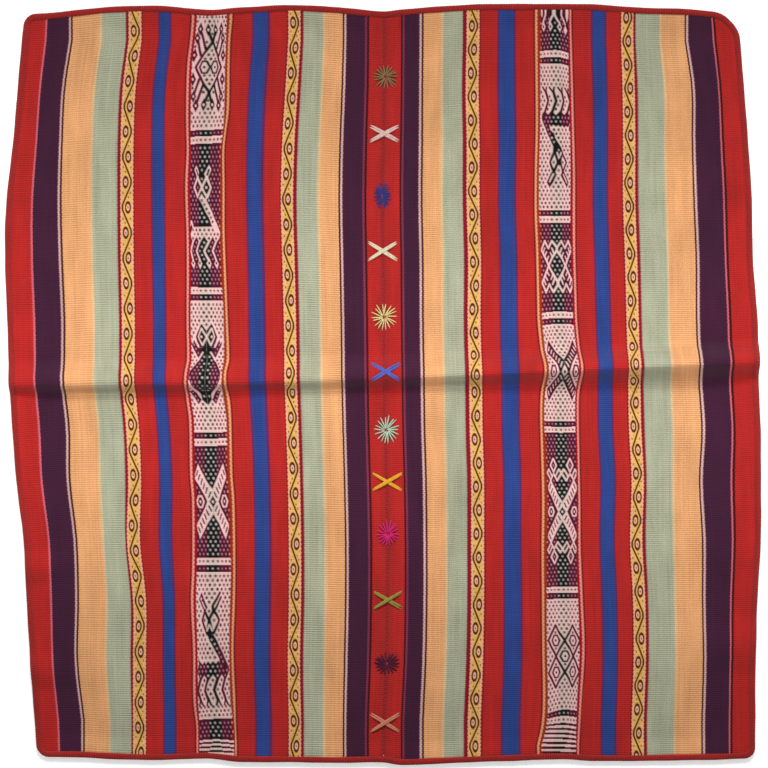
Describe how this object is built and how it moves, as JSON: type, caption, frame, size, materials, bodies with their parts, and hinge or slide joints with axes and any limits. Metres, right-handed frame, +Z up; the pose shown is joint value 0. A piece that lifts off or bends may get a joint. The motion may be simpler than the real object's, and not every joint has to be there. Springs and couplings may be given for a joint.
{
  "type": "andean mesa cloth",
  "caption": "Square striped ceremonial cloth of two loom panels joined at a centre seam, with figured bands, wrapped edging and embroidered marks, lying open with its fold ridge.",
  "frame": {"origin": "centre of the bounding box's bottom, on the surface that the cloth lies on", "axes": "+Z up from the surface, X across the stripes, Y along the stripes and the centre seam towards the cloth's top edge"},
  "size_m": [0.567, 0.5705, 0.0167],
  "materials": {
    "woven_cloth": "warp-faced handwoven wool, matte, in stripes of red, blue, sage, peach and aubergine",
    "edging_wool": "tubular woven wool edging, matte red with a pale and dark figured underside",
    "yarn_green": "soft embroidery yarn",
    "yarn_blue": "soft embroidery yarn",
    "yarn_yellow": "soft embroidery yarn",
    "yarn_mint": "soft embroidery yarn",
    "yarn_pink": "soft embroidery yarn",
    "yarn_plum": "soft embroidery yarn",
    "yarn_rose": "soft embroidery yarn",
    "yarn_cream": "soft embroidery yarn",
    "yarn_violet": "soft embroidery yarn",
    "yarn_gold": "soft embroidery yarn",
    "yarn_olive": "soft embroidery yarn",
    "yarn_salmon": "soft embroidery yarn"
  },
  "bodies": {
    "root": {"panel_left": "woven_cloth", "panel_right": "woven_cloth", "edging": "edging_wool", "star_green": "yarn_green", "star_blue": "yarn_blue", "star_yellow": "yarn_yellow", "star_mint": "yarn_mint", "star_pink": "yarn_pink", "star_plum": "yarn_plum", "cross_rose": "yarn_rose", "cross_cream": "yarn_cream", "cross_violet": "yarn_violet", "cross_gold": "yarn_gold", "cross_olive": "yarn_olive", "cross_salmon": "yarn_salmon"}
  },
  "joints": []
}
